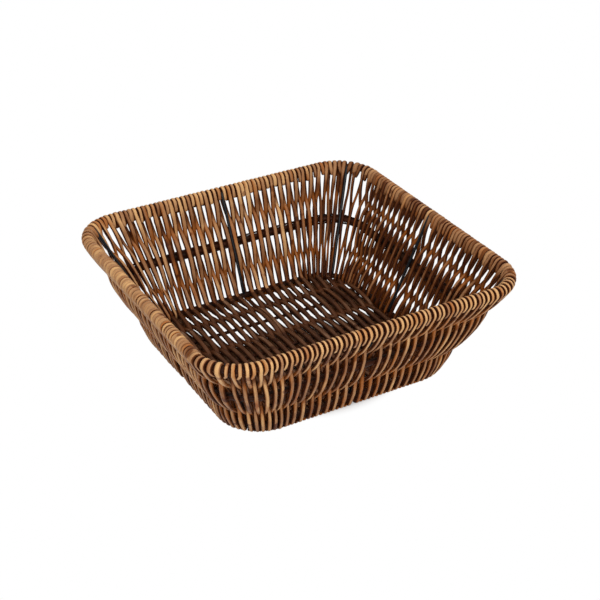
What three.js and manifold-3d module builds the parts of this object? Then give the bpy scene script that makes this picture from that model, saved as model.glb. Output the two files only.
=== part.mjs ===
import * as THREE from "three";
import { mergeVertices } from "three/addons/utils/BufferGeometryUtils.js";
import Module from "manifold-3d";

// A low square basket woven from round rattan strands on a frame of rods.
// Millimetres, +Z up, the floor at Z = 0, the long sides along X, the front at -Y.

// The frame's three rings, measured along the middle of each rod
const RIM_LENGTH = 338;
const RIM_WIDTH = 326;
const RIM_CORNER_RADIUS = 44;
const RIM_HEIGHT = 112;
const BASE_LENGTH = 242;
const BASE_WIDTH = 228;
const BASE_CORNER_RADIUS = 40;
const MID_RAIL_HEIGHT = 61;

// Rods, wires and strands
const RIM_ROD_DIAMETER = 6;
const MID_RAIL_DIAMETER = 6;
const BASE_RING_DIAMETER = 6;
const BASE_ROD_DIAMETER = 3.6;
const BASE_ROD_SPACING = 54;
const UPRIGHT_DIAMETER = 3.2;
const STRAND_DIAMETER = 3.4;

// A strand bears flat on the rods, so it is a little wider than it is thick
const STRAND_WIDTH = 4.2;

// Strands on half a wall: on the straight of the rim, from the upright in the wall's
// middle, and round to the upright at the corner
const SIDE_WALL_STRANDS = 23;
const SIDE_CORNER_STRANDS = 5;
const LONG_WALL_STRANDS = 24;
const LONG_CORNER_STRANDS = 6;
// Strands of half the base that are in its middle strip
const MIDDLE_STRIP_STRANDS = 12;

// The strands' pitch on the base. The walls' strands keep it along this share of their
// number, then crowd together within so many strands.
const BASE_STRAND_PITCH = 4.6;
const EVEN_SHARE = 0.43;
const CROWDING_STRANDS = 4;
// Strands fill the base up to this far from the middle of the base ring's rod
const BASE_EDGE_ROOM = 16;
// A strand is no wider than this share of its pitch
const CROWDED_WIDTH = 0.8;

// How far the loops reach down or up the wall from a ring's middle. A strand's end is
// rooted in them, and is thinner than they are there.
const LOOP_LEG = 6;
const ROOT_DEPTH = 0.5;
const ROOT_THINNING = 0.88;
// A strand leans as it passes a rod, so it stands off by this much more
const LEANING_ROOM = 0.3;
// The ties that stand for the touch of base strands where they change sides
const TIE_WIDTH = 3;
const TIE_COVER = 0.3;

// Room between touching pieces, beside an upright, and between bands of weave
const CLEARANCE = 0.3;
const UPRIGHT_SIDE_GAP = 0.8;
const BAND_GAP = 0.6;

// Facets
const ROD_SIDES = 8;
const RING_CORNER_STEPS = 8;
const LOOP_STEPS = 4;
const UNDER_LOOP_SIDES = 8;

// Derived sizes of the frame
const rimRodRadius = RIM_ROD_DIAMETER / 2;
const midRailRadius = MID_RAIL_DIAMETER / 2;
const baseRingRadius = BASE_RING_DIAMETER / 2;
const baseRodRadius = BASE_ROD_DIAMETER / 2;
const uprightRadius = UPRIGHT_DIAMETER / 2;
const baseHeight = baseRingRadius + STRAND_DIAMETER;
const wallHeight = RIM_HEIGHT - baseHeight;
const rim = {
  x: RIM_LENGTH / 2 - RIM_CORNER_RADIUS,
  y: RIM_WIDTH / 2 - RIM_CORNER_RADIUS,
  radius: RIM_CORNER_RADIUS,
};
const base = {
  x: BASE_LENGTH / 2 - BASE_CORNER_RADIUS,
  y: BASE_WIDTH / 2 - BASE_CORNER_RADIUS,
  radius: BASE_CORNER_RADIUS,
};

// Each upright is a straight wire that touches the three rings from inside
const uprightInsetAtRim = rimRodRadius + CLEARANCE + uprightRadius;
const uprightInsetAtBase = baseRingRadius + CLEARANCE + uprightRadius;
const midRailDrop = (RIM_HEIGHT - MID_RAIL_HEIGHT) / wallHeight;
const uprightInsetAtMid = THREE.MathUtils.lerp(uprightInsetAtRim, uprightInsetAtBase, midRailDrop);
const midRailOffset = midRailRadius + CLEARANCE + uprightRadius - uprightInsetAtMid;

const rattan = new THREE.MeshStandardMaterial({ color: 0x8f5f35, roughness: 0.5, metalness: 0 });
const rattanDark = new THREE.MeshStandardMaterial({ color: 0x5c3820, roughness: 0.55, metalness: 0 });
const darkRod = new THREE.MeshStandardMaterial({ color: 0x2a1a10, roughness: 0.6, metalness: 0 });
const blackSteel = new THREE.MeshStandardMaterial({ color: 0x20262b, roughness: 0.4, metalness: 0.8 });

const wasm = await Module();
wasm.setup();

// A closed geometry as a solid that can be cut and joined
function solidFrom(geometry) {
  const plain = geometry.clone();
  plain.deleteAttribute("normal");
  plain.deleteAttribute("uv");
  const merged = mergeVertices(plain, 1e-4);
  return new wasm.Manifold(
    new wasm.Mesh({
      numProp: 3,
      vertProperties: merged.attributes.position.array,
      triVerts: new Uint32Array(merged.index.array),
    }),
  );
}

function geometryFrom(solid) {
  const mesh = solid.getMesh();
  const geometry = new THREE.BufferGeometry();
  geometry.setAttribute("position", new THREE.BufferAttribute(mesh.vertProperties, 3));
  geometry.setIndex(new THREE.BufferAttribute(mesh.triVerts, 1));
  return geometry;
}

// Joins a row of cross-sections into one closed skin. Each section holds the same
// loops of points; the loops run the same way round as the outline of the flat section.
function skin(sections, flatLoops, closed) {
  const positions = [];
  const indices = [];
  const perSection = sections[0].flat().length;
  for (const section of sections) {
    for (const point of section.flat()) positions.push(point.x, point.y, point.z);
  }
  const joins = closed ? sections.length : sections.length - 1;
  for (let s = 0; s < joins; s += 1) {
    const near = s * perSection;
    const far = ((s + 1) % sections.length) * perSection;
    let start = 0;
    for (const loop of sections[0]) {
      for (let i = 0; i < loop.length; i += 1) {
        const a = start + i;
        const b = start + ((i + 1) % loop.length);
        indices.push(near + a, near + b, far + b, near + a, far + b, far + a);
      }
      start += loop.length;
    }
  }
  if (!closed) {
    const [outline, ...holes] = flatLoops;
    const last = (sections.length - 1) * perSection;
    for (const [a, b, c] of THREE.ShapeUtils.triangulateShape(outline, holes)) {
      indices.push(a, b, c);
      indices.push(last + c, last + b, last + a);
    }
  }
  // A skin swept the other way round comes out inside out
  if (signedVolume(positions, indices) < 0) indices.reverse();
  const geometry = new THREE.BufferGeometry();
  geometry.setAttribute("position", new THREE.Float32BufferAttribute(positions, 3));
  geometry.setIndex(indices);
  return geometry;
}

// Six times the volume inside a closed skin, negative where it is inside out
function signedVolume(positions, indices) {
  const corner = (i) => new THREE.Vector3().fromArray(positions, 3 * indices[i]);
  let volume = 0;
  for (let i = 0; i < indices.length; i += 3) {
    volume += corner(i).dot(corner(i + 1).cross(corner(i + 2)));
  }
  return volume;
}

function mix(a, b, share) {
  return THREE.MathUtils.lerp(a, b, share);
}

// The rounded rectangle of the wall's middle surface at a drop below the rim,
// where drop is 0 at the rim and 1 at the base ring
function outlineAt(drop) {
  return {
    x: mix(rim.x, base.x, drop),
    y: mix(rim.y, base.y, drop),
    radius: mix(rim.radius, base.radius, drop),
    z: RIM_HEIGHT - drop * wallHeight,
  };
}

const up = new THREE.Vector3(0, 0, 1);
const TURN = Math.PI * 2;
const CORNER = Math.PI / 2;

// The two kinds of wall in the +X +Y quarter. A place on one is measured along it from
// its middle and on round the corner. Every other strand is outside the wall at the rim.
const sideWall = {
  cornerFrom: SIDE_WALL_STRANDS,
  strands: SIDE_WALL_STRANDS + SIDE_CORNER_STRANDS,
  straight: (outline) => outline.y,
  angle: (bend) => bend,
  shift: (outline, slide) => new THREE.Vector3(outline.x, slide, outline.z),
  outsideAtRim: (number) => number % 2 === 1,
};
const longWall = {
  cornerFrom: LONG_WALL_STRANDS,
  strands: LONG_WALL_STRANDS + LONG_CORNER_STRANDS,
  straight: (outline) => outline.x,
  angle: (bend) => CORNER - bend,
  shift: (outline, slide) => new THREE.Vector3(slide, outline.y, outline.z),
  outsideAtRim: (number) => number % 2 === 0,
};

// A place on a wall, with the directions out in plan, across the strands, and square to
// and up the leaning wall
function place(wall, drop, along) {
  const outline = outlineAt(drop);
  const slide = Math.min(along, wall.straight(outline));
  const angle = wall.angle((along - slide) / outline.radius);
  const out = new THREE.Vector3(Math.cos(angle), Math.sin(angle), 0);
  const slope = (rim.x - base.x) * out.x + (rim.y - base.y) * out.y + rim.radius - base.radius;
  return {
    point: wall.shift(outline, slide).addScaledVector(out, outline.radius),
    out,
    across: new THREE.Vector3(-out.y, out.x, 0),
    normal: new THREE.Vector3(out.x, out.y, -slope / wallHeight).normalize(),
    rise: new THREE.Vector3((out.x * slope) / wallHeight, (out.y * slope) / wallHeight, 1).normalize(),
  };
}

function ringPlaces(steps) {
  const places = [];
  for (let quarter = 0; quarter < 4; quarter += 1) {
    for (let i = 0; i <= steps; i += 1) places.push(quarter * CORNER + (i / steps) * CORNER);
  }
  return places;
}

// A rod bent into a rounded rectangle, its ends joined into one ring
function ring(outline, radius) {
  const signs = [
    [1, 1],
    [-1, 1],
    [-1, -1],
    [1, -1],
  ];
  const sections = ringPlaces(RING_CORNER_STEPS).map((angle, index) => {
    const [signX, signY] = signs[Math.floor(index / (RING_CORNER_STEPS + 1))];
    const out = new THREE.Vector3(Math.cos(angle), Math.sin(angle), 0);
    const middle = new THREE.Vector3(signX * outline.x, signY * outline.y, outline.z);
    middle.addScaledVector(out, outline.radius);
    const loop = [];
    for (let i = 0; i < ROD_SIDES; i += 1) {
      const turn = (-i / ROD_SIDES) * TURN;
      const point = middle.clone().addScaledVector(out, radius * Math.cos(turn));
      loop.push(point.addScaledVector(up, radius * Math.sin(turn)));
    }
    return [loop];
  });
  return skin(sections, null, true);
}

// One point of a loop's section: a distance from the ring's middle, and an angle that is
// 0 square to the wall on its outer side
function loopPoint(turn, distance) {
  return { offset: distance * Math.cos(turn), climb: distance * Math.sin(turn) };
}

// The same with the angle from level, for the flat under the base ring
function levelPoint(turn, distance) {
  return { outward: distance * Math.cos(turn), climb: distance * Math.sin(turn) };
}

// Points of a half loop over a rod, from one side of the wall to the other
function halfLoop(fromTurn, toTurn, distance) {
  const points = [];
  for (let i = 0; i <= LOOP_STEPS; i += 1) {
    points.push(loopPoint(mix(fromTurn, toTurn, i / LOOP_STEPS), distance));
  }
  return points;
}

// A facet's middle lies nearer the rod than its corners, so a bore is drawn round it
const boreFactor = 1 / Math.cos(CORNER / LOOP_STEPS);
const rimBore = (rimRodRadius + CLEARANCE) * boreFactor;
const baseBore = (baseRingRadius + CLEARANCE) * boreFactor;
const overRim = rimRodRadius + STRAND_DIAMETER;
const underBase = baseRingRadius + STRAND_DIAMETER;

// The loops over the rim rod in section, side by side as one roll, open towards the base
const rimLoopSection = [
  { offset: -overRim, climb: -LOOP_LEG },
  ...halfLoop(Math.PI, 0, overRim),
  { offset: overRim, climb: -LOOP_LEG },
  { offset: rimBore, climb: -LOOP_LEG },
  ...halfLoop(0, Math.PI, rimBore),
  { offset: -rimBore, climb: -LOOP_LEG },
];

// The loops under the base ring, flat where the basket stands
const flatTurn = TURN / UNDER_LOOP_SIDES / 2;
const flatReach = underBase / Math.cos(flatTurn);
const baseLoopSection = [
  { offset: underBase, climb: LOOP_LEG },
  loopPoint(0, underBase),
  levelPoint(-CORNER + flatTurn, flatReach),
  levelPoint(-CORNER - flatTurn, flatReach),
  levelPoint(-CORNER - 3 * flatTurn, flatReach),
  loopPoint(-Math.PI, underBase),
  { offset: -underBase, climb: LOOP_LEG },
  { offset: -baseBore, climb: LOOP_LEG },
  ...halfLoop(Math.PI, TURN, baseBore),
  { offset: baseBore, climb: LOOP_LEG },
];

// A section's points in space at one place on the wall
function sectionAt(spot, section) {
  return section.map((p) => {
    const point = spot.point.clone();
    if (p.outward === undefined) {
      return point.addScaledVector(spot.normal, p.offset).addScaledVector(spot.rise, p.climb);
    }
    return point.addScaledVector(spot.out, p.outward).addScaledVector(up, p.climb);
  });
}

// Half the slot that an upright stands in, between two bands of weave, along a wall and
// as an angle at a corner
const uprightSlot = uprightRadius + UPRIGHT_SIDE_GAP;
const slotAngle = uprightSlot / BASE_CORNER_RADIUS;
const firstStrand = uprightSlot + STRAND_WIDTH / 2;

// From the middle of a wall to the middle of its corner
function halfWall(wall, drop) {
  const outline = outlineAt(drop);
  return wall.straight(outline) + (outline.radius * CORNER) / 2;
}

function lastLoopEdge(wall, drop) {
  return halfWall(wall, drop) - slotAngle * outlineAt(drop).radius;
}

// Where a strand, counted from the middle of its wall, stands along the rim: evenly on
// the straight, then spread over the corner
function rimPlace(wall, number) {
  const straight = wall.straight(rim);
  const straightEnd = wall.cornerFrom - 0.5;
  if (number <= straightEnd) return mix(firstStrand, straight, number / straightEnd);
  const share = (number - straightEnd) / (wall.strands - 1 - straightEnd);
  return mix(straight, lastLoopEdge(wall, 0) - STRAND_WIDTH / 2, share);
}

// The same along the base ring: evenly, then crowded together before the corner
function basePlace(wall, number) {
  const even = Math.round(wall.strands * EVEN_SHARE);
  const crowded = even + CROWDING_STRANDS;
  const room = lastLoopEdge(wall, 1) - STRAND_WIDTH / 2 - firstStrand;
  const evenRoom = BASE_STRAND_PITCH * (even + CROWDING_STRANDS / 2);
  const narrow = (room - evenRoom) / (wall.strands - 1 - crowded + CROWDING_STRANDS / 2);
  const passed = THREE.MathUtils.clamp(number - even, 0, CROWDING_STRANDS);
  const lost = ((BASE_STRAND_PITCH - narrow) * passed * passed) / (2 * CROWDING_STRANDS);
  const beyond = Math.max(number - crowded, 0);
  return firstStrand + BASE_STRAND_PITCH * (number - beyond) - lost + narrow * beyond;
}

function alongAt(wall, drop, number) {
  return mix(rimPlace(wall, number), basePlace(wall, number), drop);
}

// The loops of a band of strands round one ring
function loopRoll(wall, drop, section, fromAlong, toAlong) {
  const outline = outlineAt(drop);
  const straight = wall.straight(outline);
  const alongs = [fromAlong];
  for (let step = 0; step < RING_CORNER_STEPS; step += 1) {
    const along = straight + (step / RING_CORNER_STEPS) * CORNER * outline.radius;
    if (along > fromAlong + BAND_GAP && along < toAlong - BAND_GAP) alongs.push(along);
  }
  alongs.push(toAlong);
  const sections = alongs.map((along) => [sectionAt(place(wall, drop, along), section)]);
  const flat = section.map((p) => new THREE.Vector2(p.offset ?? p.outward, p.climb));
  return solidFrom(skin(sections, [flat], false));
}

// How far a strand's middle stays from the middle of a rod that it passes
function passing(rodRadius) {
  return rodRadius + CLEARANCE + STRAND_DIAMETER / 2 + LEANING_ROOM;
}

// A strand from the loops over the rim rod, past the mid rail on the other side of the
// wall, to the loops under the base ring. Between the rods it is straight.
function wallStrand(wall, number) {
  const side = wall.outsideAtRim(number) ? 1 : -1;
  const stops = [
    {
      drop: 0,
      offset: (side * (rimBore + overRim)) / 2,
      climb: ROOT_DEPTH - LOOP_LEG,
      thickness: (overRim - rimBore) * ROOT_THINNING,
    },
    {
      drop: midRailDrop,
      offset: midRailOffset - side * passing(midRailRadius),
      climb: 0,
      thickness: STRAND_DIAMETER,
    },
    {
      drop: 1,
      offset: (side * (baseBore + underBase)) / 2,
      climb: LOOP_LEG - ROOT_DEPTH,
      thickness: (underBase - baseBore) * ROOT_THINNING,
    },
  ];
  const sections = stops.map(({ drop, offset, climb, thickness }) => {
    const pitch = alongAt(wall, drop, number + 0.5) - alongAt(wall, drop, number - 0.5);
    const width = Math.min(STRAND_WIDTH, pitch * CROWDED_WIDTH);
    const spot = place(wall, drop, alongAt(wall, drop, number));
    spot.point.addScaledVector(spot.normal, offset).addScaledVector(spot.rise, climb);
    return [boxSection(spot.point, spot.across, spot.normal, width, thickness)];
  });
  return solidFrom(skin(sections, [flatBox], false));
}

// The four corners of a strand's section
const flatBox = [
  new THREE.Vector2(-0.5, -0.5),
  new THREE.Vector2(-0.5, 0.5),
  new THREE.Vector2(0.5, 0.5),
  new THREE.Vector2(0.5, -0.5),
];
function boxSection(point, across, normal, width, thickness) {
  return flatBox.map((corner) =>
    point
      .clone()
      .addScaledVector(across, corner.x * width)
      .addScaledVector(normal, corner.y * thickness),
  );
}

// A band of wall weave: strands from one number to the next, with their loops, less the
// solids that are to pass through them
function weaveBand(wall, from, to, holes) {
  const starts = (drop) => {
    return from === 0 ? uprightSlot : alongAt(wall, drop, from - 0.5) + BAND_GAP / 2;
  };
  const ends = (drop) => {
    if (to === wall.strands) return lastLoopEdge(wall, drop);
    return alongAt(wall, drop, to - 0.5) - BAND_GAP / 2;
  };
  const solids = [
    loopRoll(wall, 0, rimLoopSection, starts(0), ends(0)),
    loopRoll(wall, 1, baseLoopSection, starts(1), ends(1)),
  ];
  for (let number = from; number < to; number += 1) solids.push(wallStrand(wall, number));
  let band = wasm.Manifold.union(solids);
  for (const hole of holes) band = band.subtract(solidFrom(hole));
  return geometryFrom(band);
}

// Rods across the base, evenly spaced about its middle, that stop at the base ring
const baseRodLength = BASE_LENGTH - 2 * (baseRingRadius + CLEARANCE);
const baseRodPlaces = [-BASE_ROD_SPACING, 0, BASE_ROD_SPACING];

function crossRod(radius, length) {
  return new THREE.CylinderGeometry(radius, radius, length, ROD_SIDES).rotateZ(CORNER);
}

// The side band's loops are open where a base rod passes through them to the base ring
const holeRadius = (baseRodRadius + CLEARANCE) / Math.cos(Math.PI / ROD_SIDES);
const holeLength = baseRingRadius + 1.5 * STRAND_DIAMETER;
const holesForRods = baseRodPlaces.map((y) => {
  const hole = crossRod(holeRadius, holeLength);
  return hole.translate(BASE_LENGTH / 2 - holeLength / 2, y, baseHeight);
});

// Half the length of a base strand, which ends just inside the loops round the base ring
function baseStrandReach(farEdge) {
  const radius = BASE_CORNER_RADIUS - (underBase + CLEARANCE);
  const beyond = Math.max(farEdge - base.x, 0);
  return base.y + Math.sqrt(radius * radius - beyond * beyond);
}

// Base strands change sides half-way from the last rod to the base ring
const tiePlace = (BASE_ROD_SPACING + BASE_WIDTH / 2) / 2;

function baseStrandX(number) {
  return (number + 0.5) * BASE_STRAND_PITCH;
}

// Strands on half the base: as many as its length holds
const halfBaseStrands = Math.floor((BASE_LENGTH / 2 - BASE_EDGE_ROOM) / BASE_STRAND_PITCH + 0.5);

// A strand of the base, from front to back: over one rod and under the next
function baseStrand(number) {
  const x = baseStrandX(number);
  const reach = baseStrandReach(x + STRAND_WIDTH / 2);
  const lift = passing(baseRodRadius) * (longWall.outsideAtRim(number) ? 1 : -1);
  const endLift = (-lift * (reach - tiePlace)) / (tiePlace - BASE_ROD_SPACING);
  const stops = [
    [-reach, endLift],
    [-BASE_ROD_SPACING, lift],
    [0, -lift],
    [BASE_ROD_SPACING, lift],
    [reach, endLift],
  ];
  const across = new THREE.Vector3(1, 0, 0);
  const sections = stops.map(([y, height]) => {
    const point = new THREE.Vector3(x, y, baseHeight + height);
    return [boxSection(point, across, up, STRAND_WIDTH, STRAND_DIAMETER)];
  });
  return solidFrom(skin(sections, [flatBox], false));
}

// A strip of base weave. Neighbours touch where they change sides, which joins them.
function baseStrip(from, to) {
  const fromX = baseStrandX(from);
  const toX = baseStrandX(to - 1);
  const solids = [];
  for (let number = from; number < to; number += 1) solids.push(baseStrand(number));
  for (const y of [-tiePlace, tiePlace]) {
    const tie = new THREE.BoxGeometry(toX - fromX, TIE_WIDTH, STRAND_DIAMETER + 2 * TIE_COVER);
    solids.push(solidFrom(tie.translate((fromX + toX) / 2, y, baseHeight)));
  }
  return geometryFrom(wasm.Manifold.union(solids));
}

const basket = new THREE.Group();

function add(name, geometry, material) {
  const mesh = new THREE.Mesh(geometry, material.clone());
  mesh.name = name;
  basket.add(mesh);
  return mesh;
}

// The rings
add("rim_rod", ring(outlineAt(0), rimRodRadius), darkRod);
const midOutline = outlineAt(midRailDrop);
midOutline.radius += midRailOffset;
add("mid_rail", ring(midOutline, midRailRadius), darkRod);
add("base_ring", ring(outlineAt(1), baseRingRadius), darkRod);

// The uprights: one in the middle of each side and one at each corner. Those at the
// ends of the middle base rod stand on it.
function atMiddle(wall, drop) {
  return place(wall, drop, 0);
}
function atCorner(wall, drop) {
  return place(wall, drop, halfWall(wall, drop));
}
const uprights = [
  ["upright_right", sideWall, atMiddle, 1, 1],
  ["upright_back_right", sideWall, atCorner, 1, 1],
  ["upright_back", longWall, atMiddle, 1, 1],
  ["upright_back_left", sideWall, atCorner, -1, 1],
  ["upright_left", sideWall, atMiddle, -1, 1],
  ["upright_front_left", sideWall, atCorner, -1, -1],
  ["upright_front", longWall, atMiddle, 1, -1],
  ["upright_front_right", sideWall, atCorner, 1, -1],
];
const footLift = baseRodRadius + CLEARANCE;
for (const [name, wall, stand, signX, signY] of uprights) {
  const atRim = stand(wall, 0);
  const atBase = stand(wall, 1);
  const top = atRim.point.addScaledVector(atRim.normal, -uprightInsetAtRim);
  const foot = atBase.point.addScaledVector(atBase.normal, -uprightInsetAtBase);
  const direction = top.clone().sub(foot).normalize();
  // The wire's slanted end face clears the rod under it all round
  foot.addScaledVector(direction, (baseHeight + footLift - foot.z) / direction.z);
  foot.addScaledVector(direction, uprightRadius * Math.tan(Math.acos(direction.z)));
  const length = top.distanceTo(foot);
  const wire = new THREE.CylinderGeometry(uprightRadius, uprightRadius, length, ROD_SIDES);
  const mesh = add(name, wire, blackSteel);
  const middle = top.clone().add(foot).multiplyScalar(0.5);
  const sign = new THREE.Vector3(signX, signY, 1);
  mesh.position.copy(middle.multiply(sign));
  mesh.quaternion.setFromUnitVectors(new THREE.Vector3(0, 1, 0), direction.multiply(sign));
}

// The base rods, front to back
const rodNames = ["base_rod_front", "base_rod_middle", "base_rod_back"];
rodNames.forEach((name, index) => {
  const mesh = add(name, crossRod(baseRodRadius, baseRodLength), darkRod);
  mesh.position.set(0, baseRodPlaces[index], baseHeight);
});

// The wall weave: four bands in each quarter, mirrored from the +X +Y one
const sideBand = weaveBand(sideWall, 0, sideWall.cornerFrom, holesForRods);
const sideCornerBand = weaveBand(sideWall, sideWall.cornerFrom, sideWall.strands, []);
const longBand = weaveBand(longWall, 0, longWall.cornerFrom, []);
const longCornerBand = weaveBand(longWall, longWall.cornerFrom, longWall.strands, []);
const quarters = [
  ["right", "back", 1, 1],
  ["left", "back", -1, 1],
  ["left", "front", -1, -1],
  ["right", "front", 1, -1],
];
for (const [side, face, signX, signY] of quarters) {
  const bands = [
    [`${side}_weave_${face}_half`, sideBand, side === "right" ? rattanDark : rattan],
    [`${face}_${side}_corner_weave_on_${side}`, sideCornerBand, rattan],
    [`${face}_${side}_corner_weave_on_${face}`, longCornerBand, rattan],
    [`${face}_weave_${side}_half`, longBand, rattan],
  ];
  for (const [name, geometry, material] of bands) {
    const mesh = add(name, geometry, material);
    mesh.scale.set(signX, signY, 1);
  }
}

// The base weave: strips of strands that run front to back over and under the rods
for (const [side, sign] of [["left", -1], ["right", 1]]) {
  const middle = add(`base_weave_middle_${side}`, baseStrip(0, MIDDLE_STRIP_STRANDS), rattanDark);
  const outer = baseStrip(MIDDLE_STRIP_STRANDS, halfBaseStrands);
  middle.scale.x = sign;
  add(`base_weave_${side}`, outer, rattanDark).scale.x = sign;
}

export default basket;
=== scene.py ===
import math

import bpy
import numpy as np
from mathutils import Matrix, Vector


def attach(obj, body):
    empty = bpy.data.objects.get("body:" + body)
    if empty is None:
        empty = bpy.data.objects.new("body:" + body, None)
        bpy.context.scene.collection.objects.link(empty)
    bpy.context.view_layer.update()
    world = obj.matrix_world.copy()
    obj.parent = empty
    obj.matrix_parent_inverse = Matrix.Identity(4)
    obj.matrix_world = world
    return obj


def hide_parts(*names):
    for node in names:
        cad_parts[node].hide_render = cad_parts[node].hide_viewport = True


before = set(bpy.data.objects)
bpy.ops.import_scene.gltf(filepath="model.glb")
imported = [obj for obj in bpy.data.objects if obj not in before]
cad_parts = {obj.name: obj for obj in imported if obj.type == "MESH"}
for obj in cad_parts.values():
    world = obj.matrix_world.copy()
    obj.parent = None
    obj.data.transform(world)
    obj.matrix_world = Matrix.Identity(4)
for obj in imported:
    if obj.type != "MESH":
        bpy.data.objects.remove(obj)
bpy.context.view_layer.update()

# The camera
# A long lens, a metre and a half away, thirty degrees above the table and thirty
# degrees to the left of the basket's front.
MM = 0.001
camera_lens = bpy.data.cameras.new("camera")
camera_lens.lens = 82.7
camera_lens.sensor_width = 36
camera_lens.sensor_fit = "HORIZONTAL"
camera_lens.clip_end = 30
camera = bpy.data.objects.new("camera", camera_lens)
bpy.context.scene.collection.objects.link(camera)
bpy.context.scene.camera = camera
camera_azimuth = math.radians(-29.85)
camera_elevation = math.radians(30.75)
camera_distance = 1526.6 * MM
picture_centre = Vector((55.4 * MM, 83.4 * MM, 0))
towards_camera = Vector((
    math.sin(camera_azimuth) * math.cos(camera_elevation),
    -math.cos(camera_azimuth) * math.cos(camera_elevation),
    math.sin(camera_elevation),
))
camera.location = picture_centre + towards_camera * camera_distance
camera.rotation_euler = (math.radians(90) - camera_elevation, 0, camera_azimuth)

# The frame's rings
# Three dark stained rattan rods, each bent into a rounded rectangle: the rim rod, the
# mid rail half-way down the wall, and the base ring. The strands pass over them.
RIM = {"x": 125 * MM, "y": 119 * MM, "radius": 44 * MM}
BASE = {"x": 81 * MM, "y": 74 * MM, "radius": 40 * MM}
RIM_HEIGHT = 112 * MM
BASE_HEIGHT = 6.4 * MM
MID_RAIL_HEIGHT = 61 * MM
WALL_HEIGHT = RIM_HEIGHT - BASE_HEIGHT
RING_ROD_RADIUS = 3 * MM
rng = np.random.default_rng(20)


def along_wall(side, drop, along, offset=0.0, climb=0.0):
    """Points on the wall and the directions across the strands there.
    side is 0 right, 1 back, 2 left, 3 front. drop is 0 at the rim and 1 at the base.
    along is measured round the basket from the side's middle."""
    drop, along, offset, climb = np.broadcast_arrays(drop, along, offset, climb)
    size = {key: RIM[key] + (BASE[key] - RIM[key]) * drop for key in RIM}
    out_key, along_key = ("x", "y") if side % 2 == 0 else ("y", "x")
    straight = np.clip(along, -size[along_key], size[along_key])
    facing = side * math.pi / 2
    angle = facing + (along - straight) / size["radius"]
    out = np.stack([np.cos(angle), np.sin(angle), np.zeros_like(angle)], 1)
    face = np.array([math.cos(facing), math.sin(facing), 0])
    tangent = np.array([-math.sin(facing), math.cos(facing), 0])
    points = face * size[out_key][:, None] + tangent * straight[:, None]
    points = points + out * size["radius"][:, None]
    points[:, 2] = RIM_HEIGHT - drop * WALL_HEIGHT
    lean = np.abs(out[:, 0]) * (RIM["x"] - BASE["x"]) + np.abs(out[:, 1]) * (RIM["y"] - BASE["y"])
    slope = ((lean + RIM["radius"] - BASE["radius"]) / WALL_HEIGHT)[:, None]
    up = np.array([0, 0, 1])
    normal = (out - up * slope) / np.sqrt(1 + slope**2)
    rise = (out * slope + up) / np.sqrt(1 + slope**2)
    points = points + normal * offset[:, None] + rise * climb[:, None]
    across = np.stack([-out[:, 1], out[:, 0], np.zeros_like(angle)], 1)
    return points, across


# A cut end is rounded over by three small rings: how far along each stands, in the
# tube's own thickness, and its share of the tube's size
END_STEPS = np.array([0.0, 0.18, 0.5])
END_SHRINK = np.array([0.4, 0.66, 0.9])


def tube(path, across, half_width, half_thick, sides, tone, exposed=0.0, slits_unshaded=0.0, closed=False):
    """A swept rod or strand: rings of points round the path, wide along across.
    tone is how light it is, from 0 to 1, at each point of the path: its stain, with painted
    highlight and shade. exposed is +1 or -1 where one of its faces is the open one and the
    other faces a rod. The last mark is 1 where the slits beside it get no painted shade,
    and below 0 where that painted shade is darker."""
    path = np.asarray(path, float)
    across = np.asarray(across, float)
    count = len(path)
    half_width = np.broadcast_to(half_width, count).astype(float)
    half_thick = np.broadcast_to(half_thick, count).astype(float)
    marks = [np.broadcast_to(mark, count) for mark in (tone, exposed, slits_unshaded)]
    marks = np.stack(marks, 1).astype(float)
    if closed:
        tangent = np.roll(path, -1, 0) - np.roll(path, 1, 0)
        gaps = np.linalg.norm(np.roll(path, -1, 0) - path, axis=1)
    else:
        first = path[1] - path[0]
        last = path[-2] - path[-1]
        first = first / np.linalg.norm(first)
        last = last / np.linalg.norm(last)
        head = path[0] + np.outer(END_STEPS * half_thick[0], first)
        foot = path[-1] + np.outer(END_STEPS[::-1] * half_thick[-1], last)
        path = np.vstack([head, path[1:-1], foot])
        across = np.vstack([across[:1].repeat(3, 0), across[1:-1], across[-1:].repeat(3, 0)])
        marks = np.vstack([marks[:1].repeat(3, 0), marks[1:-1], marks[-1:].repeat(3, 0)])
        head_shrink, foot_shrink = END_SHRINK, END_SHRINK[::-1]
        half_width = np.r_[half_width[0] * head_shrink, half_width[1:-1], half_width[-1] * foot_shrink]
        half_thick = np.r_[half_thick[0] * head_shrink, half_thick[1:-1], half_thick[-1] * foot_shrink]
        count = len(path)
        tangent = np.gradient(path, axis=0)
        gaps = np.linalg.norm(np.diff(path, axis=0), axis=1)
    tangent /= np.linalg.norm(tangent, axis=1, keepdims=True)
    across = across - tangent * (across * tangent).sum(1, keepdims=True)
    across /= np.linalg.norm(across, axis=1, keepdims=True)
    through = np.cross(tangent, across)
    turn = np.arange(sides) / sides * 2 * math.pi
    ring = across[:, None] * (np.cos(turn) * half_width[:, None])[..., None]
    ring = ring + through[:, None] * (np.sin(turn) * half_thick[:, None])[..., None]
    length = np.r_[0, np.cumsum(gaps)]
    section = np.empty((count, sides, 3))
    section[..., 0] = np.cos(turn)
    section[..., 1] = np.sin(turn)
    section[..., 2] = length[:count, None]
    return {
        "points": path[:, None] + ring,
        "section": section,
        "marks": marks,
        "length": length,
        "closed": closed,
        "seed": rng.random(),
    }


# The map for baked looks: the shares of a strip's width and of the map's height that
# stay free, and where and how large the discs of the cut ends lie in them
STRIP_MARGIN = 0.04
MAP_MARGIN = 0.02
DISC_LEVEL = 0.01
DISC_HALF_WIDTH = 0.3
DISC_HALF_HEIGHT = 0.006


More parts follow.
